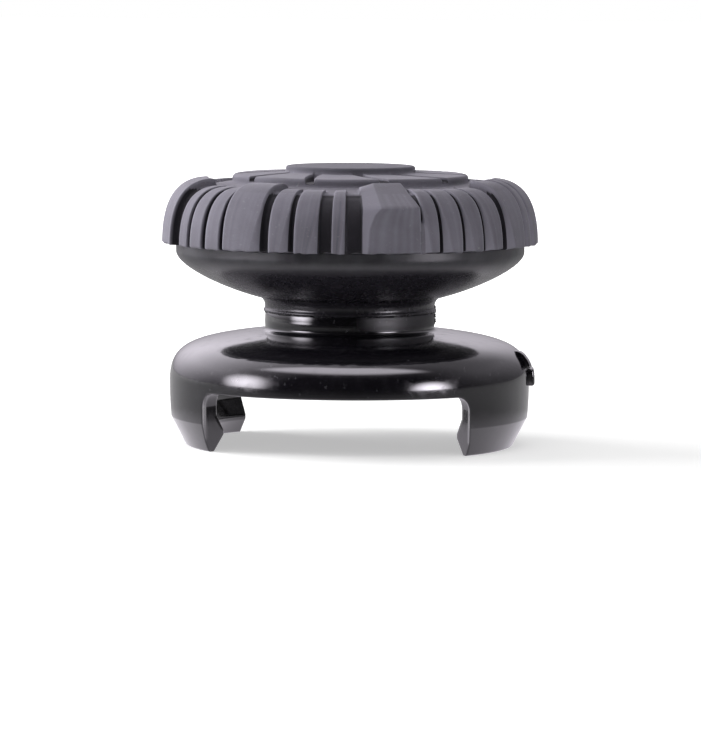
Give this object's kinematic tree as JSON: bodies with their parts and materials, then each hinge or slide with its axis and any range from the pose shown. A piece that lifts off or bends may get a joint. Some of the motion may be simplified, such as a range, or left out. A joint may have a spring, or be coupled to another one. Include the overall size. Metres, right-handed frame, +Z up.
{
  "type": "controller thumb grip",
  "caption": "Raised thumb grip that snaps over a controller's thumbstick, with a domed clip base, a waisted neck, a carrier dish and a tyre-like rubber tread.",
  "frame": {"origin": "on the axis, in the plane of the prong tips that the grip stands on", "axes": "+Z up through the tread; the two prongs are on -X and +X, the windows between them face -Y and +Y, and the raised index bars are on +X"},
  "size_m": [0.023, 0.023, 0.0171],
  "materials": {
    "clip_base": "high gloss moulded plastic",
    "carrier_dish": "satin moulded plastic",
    "tread_cap": "matte rubber"
  },
  "bodies": {
    "root": {"clip_base": "clip_base", "carrier_dish": "carrier_dish", "tread_cap": "tread_cap"}
  },
  "joints": []
}
